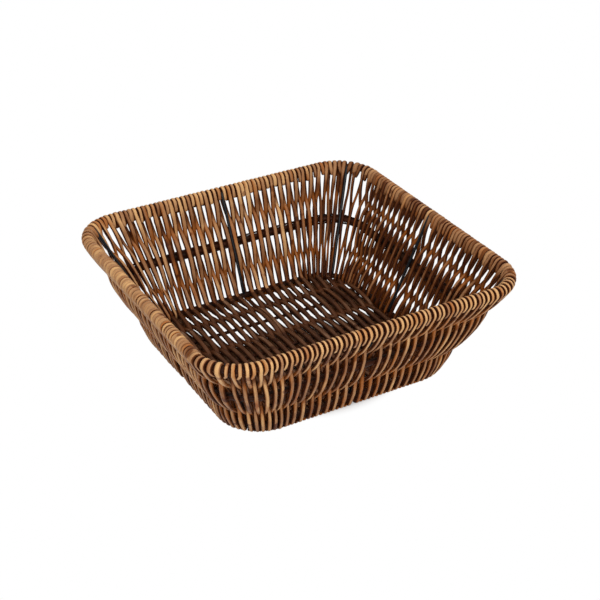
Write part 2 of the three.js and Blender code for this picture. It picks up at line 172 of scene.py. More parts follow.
def piece_of(name, tubes, material):
    """One mesh piece of several tubes, with what the stained cane finish reads kept at each
    point, painted highlight and shade among it, and with each tube unrolled as a strip of
    its own in the map for baked looks."""
    points, faces, places, sections, kept_marks, seeds = [], [], [], [], [], []
    start = 0
    longest = max(t["length"][-1] for t in tubes)
    for index, t in enumerate(tubes):
        count, sides = t["points"].shape[:2]
        points.append(t["points"].reshape(-1, 3))
        sections.append(t["section"].reshape(-1, 3))
        kept_marks.append(t["marks"].repeat(sides, 0))
        seeds.append(np.full((count * sides, 3), t["seed"]))
        rings = count if t["closed"] else count - 1
        i, j = np.meshgrid(np.arange(rings), np.arange(sides), indexing="ij")
        after_i = (i + 1) % count
        after_j = (j + 1) % sides
        quads = np.stack([
            i * sides + j,
            after_i * sides + j,
            after_i * sides + after_j,
            i * sides + after_j,
        ], -1)
        faces += (quads.reshape(-1, 4) + start)[:, ::-1].tolist()
        round_share = np.stack([j, j, j + 1, j + 1], -1) / sides
        near = t["length"][i]
        far = t["length"][i + 1]
        u = (index + STRIP_MARGIN + (1 - 2 * STRIP_MARGIN) * round_share) / len(tubes)
        v = MAP_MARGIN + (1 - 2 * MAP_MARGIN) * np.stack([near, far, far, near], -1) / longest
        places.append(np.stack([u, v], -1).reshape(-1, 4, 2)[:, ::-1].reshape(-1, 2))
        if not t["closed"]:
            turn = np.arange(sides) / sides * 2 * math.pi
            for ring, level, order in ((0, DISC_LEVEL, 1), (count - 1, 1 - DISC_LEVEL, -1)):
                faces.append([start + ring * sides + k for k in range(sides)][::order])
                disc = np.stack([
                    (index + 0.5 + DISC_HALF_WIDTH * np.cos(turn)) / len(tubes),
                    level + DISC_HALF_HEIGHT * np.sin(turn),
                ], 1)
                places.append(disc[::order])
        start += count * sides
    mesh = bpy.data.meshes.new(name)
    mesh.from_pydata(np.vstack(points).tolist(), [], faces)
    mesh.shade_smooth()
    # One kept vector holds the tone, with painted highlight and shade in it, and the exposed and slit
    # marks
    for key, values in (("section", sections), ("strand_marks", kept_marks), ("seed", seeds)):
        kept = mesh.attributes.new(key, "FLOAT_VECTOR", "POINT")
        kept.data.foreach_set("vector", np.vstack(values).astype(np.float32).ravel())
    baked = mesh.uv_layers.new(name="OFBake")
    baked.uv.foreach_set("vector", np.vstack(places).astype(np.float32).ravel())
    mesh.materials.append(material)
    piece = bpy.data.objects.new(name, mesh)
    bpy.context.scene.collection.objects.link(piece)
    return piece


def shader_group(name, inputs, outputs):
    """An empty shader node group with these named sockets."""
    group = bpy.data.node_groups.new(name, "ShaderNodeTree")
    for kind, direction in ((inputs, "INPUT"), (outputs, "OUTPUT")):
        for label, socket_type in kind:
            group.interface.new_socket(label, in_out=direction, socket_type=socket_type)
    return group, group.nodes.new("NodeGroupInput"), group.nodes.new("NodeGroupOutput")


def join(tree, source, target):
    tree.links.new(source, target)


def feed(tree, sockets, values):
    """Links each value that is a socket, and sets each that is a number or a colour."""
    for socket, value in zip(sockets, values):
        if isinstance(value, bpy.types.NodeSocket):
            tree.links.new(value, socket)
        elif value is not None:
            socket.default_value = value


def math_node(tree, operation, first, second=None):
    """A Math node fed by sockets or numbers; gives its output."""
    node = tree.nodes.new("ShaderNodeMath")
    node.operation = operation
    feed(tree, node.inputs, (first, second))
    return node.outputs[0]


def ramp_between(tree, value, low, high, to_low=0.0, to_high=1.0):
    """value mapped smoothly from low..high to to_low..to_high."""
    node = tree.nodes.new("ShaderNodeMapRange")
    node.interpolation_type = "SMOOTHSTEP"
    tree.links.new(value, node.inputs["Value"])
    node.inputs["From Min"].default_value = low
    node.inputs["From Max"].default_value = high
    node.inputs["To Min"].default_value = to_low
    node.inputs["To Max"].default_value = to_high
    return node.outputs["Result"]


def mixed(tree, share, first, second):
    """Two colours mixed by a share; gives the colour output."""
    node = tree.nodes.new("ShaderNodeMix")
    node.data_type = "RGBA"
    feed(tree, (node.inputs[0], node.inputs[6], node.inputs[7]), (share, first, second))
    return node.outputs[2]


def noise_at(tree, place, scale, detail=2.0, roughness=0.5):
    """Noise over a place; gives its value output."""
    node = tree.nodes.new("ShaderNodeTexNoise")
    tree.links.new(place, node.inputs["Vector"])
    node.inputs["Scale"].default_value = scale
    node.inputs["Detail"].default_value = detail
    node.inputs["Roughness"].default_value = roughness
    return node.outputs["Fac"]


SEED_SPREAD = 71.0
KNOT_SHADE = 0.3
HIDDEN_RED = 0.34
CROSSING_RED = 0.9
RED_STRENGTH = 0.7
FLANK_ROUGHNESS = 0.3
STREAK_RELIEF = 0.7
KNOT_RELIEF = 0.3


def stained_cane_group():
    """Stained cane: its streaks run along the piece, patches of stain come and go, the
    flanks between neighbours are darkened by more stain and by painted shade, the face
    toward a rod is darkened by stain and painted shade, and a dark band crosses each knot."""
    colour_names = ("Black Stain", "Brown Stain", "Tan", "Gold", "Red Patch")
    number_names = ("Patchiness", "Streaks", "Flank Stain And Shade", "Hidden Stain And Shade")
    inputs = [(name, "NodeSocketColor") for name in colour_names]
    inputs += [(name, "NodeSocketFloat") for name in number_names]
    outputs = [
        ("Colour", "NodeSocketColor"),
        ("Roughness", "NodeSocketFloat"),
        ("Height", "NodeSocketFloat"),
    ]
    tree, group_input, group_output = shader_group("stained_cane", inputs, outputs)
    given = group_input.outputs
    result = group_output.inputs

    def times(first, second):
        return math_node(tree, "MULTIPLY", first, second)

    def plus(first, second):
        return math_node(tree, "ADD", first, second)

    def minus(first, second):
        return math_node(tree, "SUBTRACT", first, second)

    def larger(first, second):
        return math_node(tree, "MAXIMUM", first, second)

    def size_of(value):
        return math_node(tree, "ABSOLUTE", value)

    def kept_at_points(name):
        """What piece_of has kept at each point under this name."""
        node = tree.nodes.new("ShaderNodeAttribute")
        node.attribute_name = name
        return node.outputs

    def parts_of(vector):
        node = tree.nodes.new("ShaderNodeSeparateXYZ")
        join(tree, vector, node.inputs[0])
        return node.outputs

    # Where a point lies over the strand's width and its thickness, and how far along it
    over_width, over_thickness, length = parts_of(kept_at_points("section")["Vector"])
    tone, exposed, slits_unshaded = parts_of(kept_at_points("strand_marks")["Vector"])
    seed = times(kept_at_points("seed")["Fac"], SEED_SPREAD)

    def place(round_scale, along_scale, shift):
        """A place to read noise at, in each strand another, stretched along it."""
        node = tree.nodes.new("ShaderNodeCombineXYZ")
        join(tree, plus(times(over_width, round_scale), seed), node.inputs[0])
        join(tree, times(over_thickness, round_scale), node.inputs[1])
        join(tree, plus(times(length, along_scale), shift), node.inputs[2])
        return node.outputs[0]

    patches = noise_at(tree, place(0.25, 42.0, 3.0), 1.0, 2.0, 0.55)
    streaks = noise_at(tree, place(2.6, 34.0, 11.0), 1.6, 3.0, 0.6)
    reds = noise_at(tree, place(0.3, 30.0, 23.0), 1.0, 1.0)
    knots = noise_at(tree, place(0.12, 75.0, 41.0), 1.0, 0.0)
    # How light the strand is, from its stain and from painted highlight and shade: black
    # at 0, then brown and tan, and gold at 1
    level = plus(tone, times(minus(patches, 0.5), given["Patchiness"]))
    level = plus(level, times(minus(streaks, 0.5), given["Streaks"]))
    # The flanks are darkened by stain and by painted shade between neighbours
    edge = ramp_between(tree, size_of(over_width), 0.42, 1.0)
    slit_shade_share = minus(1.0, slits_unshaded)
    level = minus(level, times(times(edge, given["Flank Stain And Shade"]), slit_shade_share))
    # The face toward a rod is darkened by stain and by painted shade where the rod shades it
    facing_rod = times(times(over_thickness, exposed), -1.0)
    hidden = ramp_between(tree, facing_rod, -0.1, 0.7)
    level = minus(level, times(hidden, given["Hidden Stain And Shade"]))
    knot = ramp_between(tree, knots, 0.70, 0.76)
    level = minus(level, times(knot, KNOT_SHADE))
    browned = ramp_between(tree, level, 0.0, 0.38)
    colour = mixed(tree, browned, given["Black Stain"], given["Brown Stain"])
    colour = mixed(tree, ramp_between(tree, level, 0.32, 0.7), colour, given["Tan"])
    colour = mixed(tree, ramp_between(tree, level, 0.66, 1.0), colour, given["Gold"])
    red = times(ramp_between(tree, reds, 0.5, 0.72), ramp_between(tree, level, 0.1, 0.4))
    red = times(red, math_node(tree, "MINIMUM", slit_shade_share, 1.0))
    # The side that faces a rod keeps its first, redder stain, and so do the crossings
    red = larger(red, times(hidden, HIDDEN_RED))
    crossing = ramp_between(tree, size_of(exposed), 0.0, 0.8, CROSSING_RED, 0.0)
    red = larger(red, times(crossing, ramp_between(tree, reds, 0.38, 0.6)))
    colour = mixed(tree, times(red, RED_STRENGTH), colour, given["Red Patch"])
    join(tree, colour, result["Colour"])
    # The worn middle of a strand is the smoothest, and its stained flanks are matt
    sheen = ramp_between(tree, streaks, 0.2, 0.8, 0.36, 0.54)
    join(tree, plus(sheen, times(edge, FLANK_ROUGHNESS)), result["Roughness"])
    height = plus(times(streaks, STREAK_RELIEF), times(knot, KNOT_RELIEF))
    join(tree, height, result["Height"])
    return tree


CANE_GLOSS = 0.09
CANE_RELIEF_DEPTH = 0.4 * MM


def cane_material(name, settings, bump):
    """A stained cane or rod finish from the stained_cane group, with a faint gloss."""
    material = bpy.data.materials.new(name)
    material.use_nodes = True
    tree = material.node_tree
    shader = tree.nodes["Principled BSDF"]
    shader.inputs["Specular IOR Level"].default_value = CANE_GLOSS
    effect = tree.nodes.new("ShaderNodeGroup")
    effect.node_tree = stained_cane
    for label, value in settings.items():
        effect.inputs[label].default_value = value
    join(tree, effect.outputs["Colour"], shader.inputs["Base Color"])
    join(tree, effect.outputs["Roughness"], shader.inputs["Roughness"])
    relief = tree.nodes.new("ShaderNodeBump")
    relief.inputs["Strength"].default_value = bump
    relief.inputs["Distance"].default_value = CANE_RELIEF_DEPTH
    join(tree, effect.outputs["Height"], relief.inputs["Height"])
    join(tree, relief.outputs["Normal"], shader.inputs["Normal"])
    return material


stained_cane = stained_cane_group()
rod_finish = cane_material("dark_rod_finish", {
    "Black Stain": (0.006, 0.0025, 0.0015, 1),
    "Brown Stain": (0.015, 0.006, 0.003, 1),
    "Tan": (0.048, 0.02, 0.009, 1),
    "Gold": (0.15, 0.07, 0.03, 1),
    "Red Patch": (0.05, 0.012, 0.004, 1),
    "Patchiness": 0.5,
    "Streaks": 0.5,
    "Flank Stain And Shade": 0.0,
    "Hidden Stain And Shade": 0.0,
}, 0.6)


def ring_path(drop, climb=0.0):
    """The middle line of a ring: along each side, and half of the corner at each end."""
    path = []
    for side in range(4):
        key = "y" if side % 2 == 0 else "x"
        straight = RIM[key] + (BASE[key] - RIM[key]) * drop
        radius = RIM["radius"] + (BASE["radius"] - RIM["radius"]) * drop
        bend = radius * math.pi / 4 * np.arange(0, 7) / 7
        middle = np.linspace(-straight, straight, 12)[1:-1]
        last = straight + radius * math.pi / 4
        run = np.r_[-straight - bend[::-1], middle, straight + bend, last]
        path.append(along_wall(side, drop, run, 0.0, climb)[0])
    return np.vstack(path)


RING_SIDES = 14
RING_TONE = 0.35
RING_TONE_SPREAD = 0.1
# The mid rail has a thin binding strand above and one below it, a guess from its height
# of about nine millimetres and ragged edge in the photo
BINDING_RADIUS = 1.35 * MM
BINDING_SIDES = 8
BINDING_CLIMB = 3.9 * MM
BINDING_STRAY = 0.5 * MM
BINDING_THINNEST = 0.7
BINDING_THICKEST = 1.2
BINDING_SHADE = 0.1
mid_rail_drop = (RIM_HEIGHT - MID_RAIL_HEIGHT) / WALL_HEIGHT
for node, drop in (("rim_rod", 0.0), ("mid_rail", mid_rail_drop), ("base_ring", 1.0)):
    rods = []
    path = ring_path(drop)
    upward = np.tile([0.0, 0.0, 1.0], (len(path), 1))
    tone = RING_TONE + RING_TONE_SPREAD * rng.standard_normal(len(path))
    rods.append(tube(path, upward, RING_ROD_RADIUS, RING_ROD_RADIUS, RING_SIDES, tone, closed=True))
    if node == "mid_rail":
        for climb in (-BINDING_CLIMB, BINDING_CLIMB):
            path = ring_path(drop, climb)
            path[:, 2] += rng.normal(0, BINDING_STRAY, len(path))
            size = BINDING_RADIUS * rng.uniform(BINDING_THINNEST, BINDING_THICKEST, len(path))
            darker = tone - BINDING_SHADE
            rods.append(tube(path, upward, size, size, BINDING_SIDES, darker, closed=True))
    ring_piece = piece_of(node + "_cane", rods, rod_finish)
    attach(ring_piece, "root")
    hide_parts(node)

# The uprights
# Eight thin blue-black wires, by their look lacquered steel, that stand inside the rings:
# one in the middle of each side and one at each corner. They keep the rings apart.
UPRIGHT_RADIUS = 1.6 * MM
UPRIGHT_GAP = 0.3 * MM
UPRIGHT_INSET = RING_ROD_RADIUS + UPRIGHT_GAP + UPRIGHT_RADIUS
UPRIGHT_FOOT_DROP = 0.985
UPRIGHT_SIDES = 12
UPRIGHT_TONE = 0.5
WIRE_GLOSS = 0.2
WIRE_RELIEF = 0.3
WIRE_RELIEF_DEPTH = 0.1 * MM
WIRE_CLOUD_SCALE = 900.0
BLUE_BLACK = (0.0025, 0.0032, 0.0048, 1)
WORN_BLUE_BLACK = (0.018, 0.021, 0.025, 1)

wire_finish = bpy.data.materials.new("blue_black_wire_finish")
wire_finish.use_nodes = True
wire_tree = wire_finish.node_tree
wire_shader = wire_tree.nodes["Principled BSDF"]
wire_place = wire_tree.nodes.new("ShaderNodeTexCoord")
wire_cloud = noise_at(wire_tree, wire_place.outputs["Object"], WIRE_CLOUD_SCALE, 3.0, 0.6)
wire_worn = ramp_between(wire_tree, wire_cloud, 0.62, 0.72)
wire_colour = mixed(wire_tree, wire_worn, BLUE_BLACK, WORN_BLUE_BLACK)
wire_roughness = ramp_between(wire_tree, wire_cloud, 0.3, 0.7, 0.3, 0.5)
wire_shader.inputs["Specular IOR Level"].default_value = WIRE_GLOSS
join(wire_tree, wire_colour, wire_shader.inputs["Base Color"])
join(wire_tree, wire_roughness, wire_shader.inputs["Roughness"])
wire_relief = wire_tree.nodes.new("ShaderNodeBump")
wire_relief.inputs["Strength"].default_value = WIRE_RELIEF
wire_relief.inputs["Distance"].default_value = WIRE_RELIEF_DEPTH
join(wire_tree, wire_cloud, wire_relief.inputs["Height"])
join(wire_tree, wire_relief.outputs["Normal"], wire_shader.inputs["Normal"])

# Each upright's side, and 1 where it stands at the corner that ends the side
upright_places = [
    ("upright_right", 0, 0),
    ("upright_back_right", 0, 1),
    ("upright_back", 1, 0),
    ("upright_back_left", 1, 1),
    ("upright_left", 2, 0),
    ("upright_front_left", 2, 1),
    ("upright_front", 3, 0),
    ("upright_front_right", 3, 1),
]
for node, side, corner in upright_places:
    drop = np.linspace(0.0, UPRIGHT_FOOT_DROP, 24)
    key = "y" if side % 2 == 0 else "x"
    straight = RIM[key] + (BASE[key] - RIM[key]) * drop
    radius = RIM["radius"] + (BASE["radius"] - RIM["radius"]) * drop
    run = corner * (straight + radius * math.pi / 4)
    path, across = along_wall(side, drop, run, -UPRIGHT_INSET)
    wire = tube(path, across, UPRIGHT_RADIUS, UPRIGHT_RADIUS, UPRIGHT_SIDES, UPRIGHT_TONE)
    wire_piece = piece_of(node + "_wire", [wire], wire_finish)
    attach(wire_piece, "root")
    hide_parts(node)

# The base rods
# Three thinner rods across the base, from one side of the base ring to the other. The
# base strands pass over and under them.
BASE_ROD_RADIUS = 1.8 * MM
BASE_ROD_SPACING = 54 * MM
BASE_ROD_HALF_LENGTH = 117.7 * MM
BASE_ROD_SIDES = 12
BASE_ROD_TONE = 0.3
for node, step in (("base_rod_front", -1), ("base_rod_middle", 0), ("base_rod_back", 1)):
    run = np.linspace(-BASE_ROD_HALF_LENGTH, BASE_ROD_HALF_LENGTH, 60)
    y = np.full_like(run, step * BASE_ROD_SPACING)
    path = np.stack([run, y, np.full_like(run, BASE_HEIGHT)], 1)
    upward = np.tile([0.0, 0.0, 1.0], (len(path), 1))
    rod = tube(path, upward, BASE_ROD_RADIUS, BASE_ROD_RADIUS, BASE_ROD_SIDES, BASE_ROD_TONE)
    rod_piece = piece_of(node + "_cane", [rod], rod_finish)
    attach(rod_piece, "root")
    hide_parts(node)

# The wall strands
# Round cane, about one strand every five millimetres at the rim. Each loops over the rim
# rod, ends in a short tail on one side of the wall, and runs down on the other, out and
# in past the mid rail. Its neighbour does the opposite.
STRAND_HALF_WIDTH = 2.5 * MM
STRAND_HALF_THICK = 1.7 * MM
STRAND_SIDES = 10
LOOP_RADIUS = RING_ROD_RADIUS + STRAND_HALF_THICK
# Strands on the straight of half a wall, and with those round to the corner's middle
STRAIGHT_STRANDS = {"y": 23, "x": 24}
HALF_WALL_STRANDS = {"y": 28, "x": 30}
# The strands of the long walls up to this one run on into the base
LAST_RUNNING_STRAND = 16

strand_colours = {
    "Black Stain": (0.040, 0.0075, 0.0008, 1),
    "Brown Stain": (0.135, 0.040, 0.009, 1),
    "Tan": (0.38, 0.185, 0.082, 1),
    "Gold": (0.68, 0.39, 0.165, 1),
    "Red Patch": (0.34, 0.095, 0.012, 1),
    "Patchiness": 0.85,
    "Streaks": 0.7,
    "Flank Stain And Shade": 0.5,
    "Hidden Stain And Shade": 0.62,
}
strand_finish = cane_material("stained_strand_finish", strand_colours, 0.7)


def wander(length, spacing, size):
    """A smooth random course along a strand, one turn about every spacing."""
    knots = rng.standard_normal(int(length[-1] / spacing) + 3) * size
    step = np.asarray(length) / spacing
    index = step.astype(int)
    share = step - index
    share = share * share * (3 - 2 * share)
    return knots[index] * (1 - share) + knots[index + 1] * share


FIRST_STRAND = 4.5 * MM
RIM_PULL = 1.5 * MM
RIM_PULL_STRANDS = 3
CORNER_NOTCH = 3.9 * MM


def rim_place(number, key):
    """How far along the rim a strand stands, counted from the wall's middle: evenly on
    the straight, then spread round the corner. The first few crowd to the upright."""
    straight_end = STRAIGHT_STRANDS[key] - 0.5
    if number <= straight_end:
        pull = RIM_PULL * max(1 - number / RIM_PULL_STRANDS, 0)
        return FIRST_STRAND - pull + (RIM[key] - FIRST_STRAND) * number / straight_end
    last = RIM[key] + RIM["radius"] * math.pi / 4 - CORNER_NOTCH
    share = (number - straight_end) / (HALF_WALL_STRANDS[key] - 1 - straight_end)
    return RIM[key] + (last - RIM[key]) * share


BASE_PITCH = 4.6 * MM
BASE_NOTCH = 2.1 * MM
EVEN_SHARE = 0.43
CROWDING_STRANDS = 4


def base_place(number, key):
    """The same along the base ring, where the strands crowd together at the corner."""
    even = round(HALF_WALL_STRANDS[key] * EVEN_SHARE)
    crowded = even + CROWDING_STRANDS
    room = BASE[key] + BASE["radius"] * math.pi / 4 - BASE_NOTCH - FIRST_STRAND
    even_room = BASE_PITCH * (even + CROWDING_STRANDS / 2)
    narrow_strands = HALF_WALL_STRANDS[key] - 1 - crowded + CROWDING_STRANDS / 2
    narrow = (room - even_room) / narrow_strands
    passed = min(max(number - even, 0), CROWDING_STRANDS)
    lost = (BASE_PITCH - narrow) * passed**2 / (2 * CROWDING_STRANDS)
    beyond = max(number - crowded, 0)
    return FIRST_STRAND + BASE_PITCH * (number - beyond) - lost + narrow * beyond


UPPER_CROSSING_HEIGHT = 83 * MM
LOWER_CROSSING_HEIGHT = 33 * MM
SIDE_CHANGE = 1.25


def weave_phase(height):
    """0 at the rim rod, 1 at the mid rail and 2 at the base ring, with the crossings
    half-way between."""
    heights = [
        BASE_HEIGHT,
        LOWER_CROSSING_HEIGHT,
        MID_RAIL_HEIGHT,
        UPPER_CROSSING_HEIGHT,
        RIM_HEIGHT,
    ]
    return np.interp(height, heights, [2.0, 1.5, 1.0, 0.5, 0.0])


def side_share(phase):
    """How far a strand stands to its side: close to full between two crossings, where
    it changes sides quickly."""
    return np.tanh(SIDE_CHANGE * np.cos(math.pi * phase)) / math.tanh(SIDE_CHANGE)


# A wall strand's stray at the rods, its tail, its sways, and how far down an inner one goes
PLACE_STRAY_MM = 0.2
TAIL_SHORTEST_MM = 6.5
TAIL_LONGEST_MM = 10.0
TAIL_LEAN_MM = 0.35
TAIL_TUCK = 1.1 * MM
SWAY_ALONG = 0.45 * MM
SWAY_ALONG_SPACING = 27 * MM
SWAY_OUT = 0.22 * MM
SWAY_OUT_SPACING = 22 * MM
INNER_STRAND_DROP = 0.93
# The ends at the base ring: the turns, in degrees, of an outer strand's loop under it,
# and how far out from and above the ring's middle the other ends run
OUTER_TURN_FROM = -24
OUTER_TURN_TO = -150
OUTER_TURN_TO_RUNNING_ON = -96
BASE_PIECE_EDGE = 6.7 * MM
OUTER_RUNNING_ON_HEIGHT = -4.45 * MM
INNER_RUNNING_ON_MM = [[-2.6, 6.3], [-4.3, 4.9], [-BASE_PIECE_EDGE / MM, 4.0]]
INNER_HOOK_MM = [[-3.2, 4.2], [-4.7, 1.6], [-4.4, -1.8], [-2.4, -4.1], [0.6, -4.6], [3.2, -3.5]]


def wall_strand(side, half, number, outside, runs_on):
    """The middle line of one strand. half is +1 or -1, and outside is +1 for a strand
    that is outside at the rim and -1 for one that is inside."""
    key = "y" if side % 2 == 0 else "x"
    at_rim = half * rim_place(number, key) + rng.normal(0, PLACE_STRAY_MM) * MM
    at_base = half * base_place(number, key) + rng.normal(0, PLACE_STRAY_MM) * MM
    # The tail, tucked in a little at its end
    tail_length = rng.uniform(TAIL_SHORTEST_MM, TAIL_LONGEST_MM) * MM
    tail = np.linspace(1, 0, 4)[:-1]
    lean = rng.normal(0, TAIL_LEAN_MM) * MM
    tail_points = along_wall(
        side, tail * tail_length / WALL_HEIGHT, at_rim + lean * tail,
        -outside * (LOOP_RADIUS - TAIL_TUCK * tail**2))
    # The loop over the rim rod
    turn = np.linspace(0, math.pi, 9)
    loop_points = along_wall(
        side, 0.0, np.full(len(turn), at_rim),
        -outside * LOOP_RADIUS * np.cos(turn), LOOP_RADIUS * np.sin(turn))
    # The run down the wall
    low = 1.0 if outside > 0 else INNER_STRAND_DROP
    drop = np.linspace(0.0, low, 32)[1:]
    height = RIM_HEIGHT - drop * WALL_HEIGHT
    offset = outside * LOOP_RADIUS * side_share(weave_phase(height))
    length = drop * WALL_HEIGHT
    free_share = np.sin(math.pi * drop / low)
    sway = wander(length, SWAY_ALONG_SPACING, SWAY_ALONG) * free_share
    offset = offset + wander(length, SWAY_OUT_SPACING, SWAY_OUT) * free_share
    run_points = along_wall(side, drop, at_rim + (at_base - at_rim) * drop + sway, offset)
    # The end at the base ring
    ring_point, ring_across = along_wall(side, 1.0, np.array([at_base]))
    out = np.array([ring_across[0, 1], -ring_across[0, 0], 0])
    if outside > 0:
        last, steps = (OUTER_TURN_TO_RUNNING_ON, 7) if runs_on else (OUTER_TURN_TO, 9)
        turn = np.radians(np.linspace(OUTER_TURN_FROM, last, steps))[1:]
        level = np.stack([LOOP_RADIUS * np.cos(turn), LOOP_RADIUS * np.sin(turn)], 1)
        if runs_on:
            level = np.vstack([level, [-BASE_PIECE_EDGE, OUTER_RUNNING_ON_HEIGHT]])
    else:
        # One that doesn't run on hooks under the ring between its neighbours' loops
        level = np.array(INNER_RUNNING_ON_MM if runs_on else INNER_HOOK_MM) * MM
    end_points = ring_point + out * level[:, :1] + np.array([0, 0, 1]) * level[:, 1:]
    end_across = ring_across.repeat(len(end_points), 0)
    path = np.vstack([tail_points[0], loop_points[0], run_points[0], end_points])
    across = np.vstack([tail_points[1], loop_points[1], run_points[1], end_across])
    return path, across


TUCKED_FROM = -158
TUCKED_TO = -22


def tucked_tail(side, half, number):
    """A short tail round the underside of the base ring, between two loops. It is a
    guess: the photo shows the bottom edge closed where inner strands run on inwards."""
    at_base = half * base_place(number, "y" if side % 2 == 0 else "x")
    ring_point, ring_across = along_wall(side, 1.0, np.array([at_base]))
    out = np.array([ring_across[0, 1], -ring_across[0, 0], 0])
    turn = np.radians(np.linspace(TUCKED_FROM, TUCKED_TO, 9))
    round_ring = np.outer(np.cos(turn), out) + np.outer(np.sin(turn), [0, 0, 1])
    return ring_point + LOOP_RADIUS * round_ring, ring_across.repeat(len(turn), 0)


SIZE_SPREAD = 0.04
SIZE_WANDER = 0.025
SIZE_WANDER_SPACING = 15 * MM
KNOT_FIRST_MM = 10
KNOT_FIRST_LATEST_MM = 60
KNOT_SPACING = 55 * MM
KNOT_SWELLING = 0.12
KNOT_REACH = 1.8 * MM
ABOVE_TABLE = 0.02 * MM


def cane(path, across, marks, half_width, half_thick=STRAND_HALF_THICK):
    """A strand of cane along a path: not quite even, with a knot here and there. What
    would reach below the table is worn flat. marks are its tone, exposed and slit shade marks."""
    length = np.r_[0, np.cumsum(np.linalg.norm(np.diff(path, axis=0), axis=1))]
    size = rng.normal(1, SIZE_SPREAD) + wander(length, SIZE_WANDER_SPACING, SIZE_WANDER)
    first_knot = rng.uniform(KNOT_FIRST_MM, KNOT_FIRST_LATEST_MM) * MM
    for knot in np.arange(first_knot, length[-1], KNOT_SPACING):
        size = size + KNOT_SWELLING * np.exp(-(((length - knot) / KNOT_REACH) ** 2))
    strand = tube(path, across, half_width * size, half_thick * size, STRAND_SIDES, *marks)
    strand["points"][..., 2] = np.maximum(strand["points"][..., 2], ABOVE_TABLE)
    return strand


# Per side, a strand's width as a share of its usual one; and its half width as a share
# of the pitch where it crosses its neighbours, with what it gains away from there
WIDTH_SHARE = {0: 0.9, 1: 1.2, 2: 1.14, 3: 0.88}
CROSSING_PITCH_SHARE = 0.49
FREE_PITCH_SHARE = 0.3


def strand_width(side, number, key, height):
    """Half the width of a strand along its path: narrower where it has to pass between
    crowded neighbours, which it does at the crossings."""
    spread = min(number + 1, HALF_WALL_STRANDS[key] - 1)
    rim_pitch = rim_place(spread, key) - rim_place(spread - 1, key)
    base_pitch = base_place(spread, key) - base_place(spread - 1, key)
    drop = np.clip((RIM_HEIGHT - height) / WALL_HEIGHT, 0, 1)
    pitch = rim_pitch + (base_pitch - rim_pitch) * drop
    apart = np.abs(np.cos(math.pi * weave_phase(height)))
    widest = pitch * (CROSSING_PITCH_SHARE + FREE_PITCH_SHARE * apart)
    return np.minimum(WIDTH_SHARE[side] * STRAND_HALF_WIDTH, widest)


# The looks of each side, in the order right, back, left and front. The right wall's low
# tone is painted shade, and the rim tones are partly wear and partly a painted highlight,
# brightest on the front rim
WALL_TONE = {0: 0.36, 1: 0.63, 2: 0.74, 3: 0.71}
RIM_TONE = {0: 0.62, 1: 0.82, 2: 0.74, 3: 0.92}
LOW_SHADE = {0: 0.06, 1: 0.26, 2: 0.1, 3: 0.04}
# How much of the painted shade in the slits between strands is left out: 1 for all of it, below 0 for
# darker slits
WALL_SLITS_UNSHADED = {0: -0.1, 1: -1.9, 2: 0.1, 3: -0.6}
RIM_SLITS_UNSHADED = {0: 0.1, 1: -0.9, 2: 0.7, 3: -2.8}
TONE_SPREAD = 0.11
TONE_EVENED = 0.6
RIM_BAND_FROM_HEIGHT = 98 * MM
RIM_BAND_WITHIN = 12 * MM
LOW_FROM_HEIGHT = 55 * MM
# Painted shade darkens the back wall towards the back right corner, from about the middle
# of its half, and its rim less so
DARK_CORNER_SHADE = 0.34
DARK_CORNER_FROM = 0.9
DARK_CORNER_RIM_SPARED = 0.6
# Towards the front left corner the painted shade in the slits of the two rims comes alike
CORNER_SLITS = {(2, 1): -1.4, (3, -1): 1.4}
CORNER_SLITS_FROM = 20
CORNER_SLITS_STRANDS = 5
RIM_SLIT_SPREAD = 0.7


def wall_marks(side, half, number, path, outside):
    """The tone, exposed and slit marks along a wall strand: lighter at the rim from wear and a
    painted highlight, painted shade low down and round the back right corner, the right
    wall darker than the others by painted shade, and little painted shade in the slits
    between the loops of the side rims."""
    height = path[:, 2]
    # Lighter towards the rim: partly wear, partly a painted highlight
    near_rim = np.clip((height - RIM_BAND_FROM_HEIGHT) / RIM_BAND_WITHIN, 0, 1)
    # Painted shade low down in the basket
    low = np.clip((LOW_FROM_HEIGHT - height) / LOW_FROM_HEIGHT, 0, 1)
    tone = WALL_TONE[side] + (RIM_TONE[side] - WALL_TONE[side]) * near_rim - LOW_SHADE[side] * low
    # Painted shade towards the back right corner
    if (side, half) == (1, -1):
        near_corner = 2 * number / HALF_WALL_STRANDS["x"] - DARK_CORNER_FROM
        near_corner = np.clip(near_corner, 0, 1)
        tone = tone - DARK_CORNER_SHADE * near_corner * (1 - DARK_CORNER_RIM_SPARED * near_rim)
    slits_unshaded = WALL_SLITS_UNSHADED[side] + (RIM_SLITS_UNSHADED[side] - WALL_SLITS_UNSHADED[side]) * near_rim
    if (side, half) in CORNER_SLITS:
        near_corner = np.clip((number - CORNER_SLITS_FROM) / CORNER_SLITS_STRANDS, 0, 1)
        slits_unshaded = slits_unshaded + CORNER_SLITS[(side, half)] * near_corner * near_rim
    # Here and there the painted shade in a slit between two loops is darker or lighter than the rest
    slits_unshaded = np.minimum(slits_unshaded + rng.normal(0, RIM_SLIT_SPREAD) * near_rim, 1)
    tone = tone + rng.normal(0, TONE_SPREAD) * (1 - TONE_EVENED * np.maximum(slits_unshaded, 0))
    exposed = outside * np.cos(math.pi * weave_phase(height))
    return tone, exposed, slits_unshaded


# Round the two back corners the strands are thin, with wide windows between them
OPEN_CORNER = ((1, -1), (0, 1), (1, 1))
OPEN_CORNER_WIDTH = 0.72
# The loops over the rim rod have their own width, which is reached over this height
LOOP_SHARE = {0: 1.0, 1: 0.97, 2: 1.02, 3: 0.8}
CORNER_LOOP_HALF_WIDTH = 2.75 * MM
LOOP_FROM_HEIGHT = 104 * MM
LOOP_WITHIN = 6 * MM
# The hook under the ring is thinned to pass between two loops
HOOK_THINNING = np.linspace(0.9, 0.7, 5)
TUCKED_HALF_WIDTH = 1.95 * MM
TUCKED_TONE = 0.36
TUCKED_TONE_SPREAD = 0.1

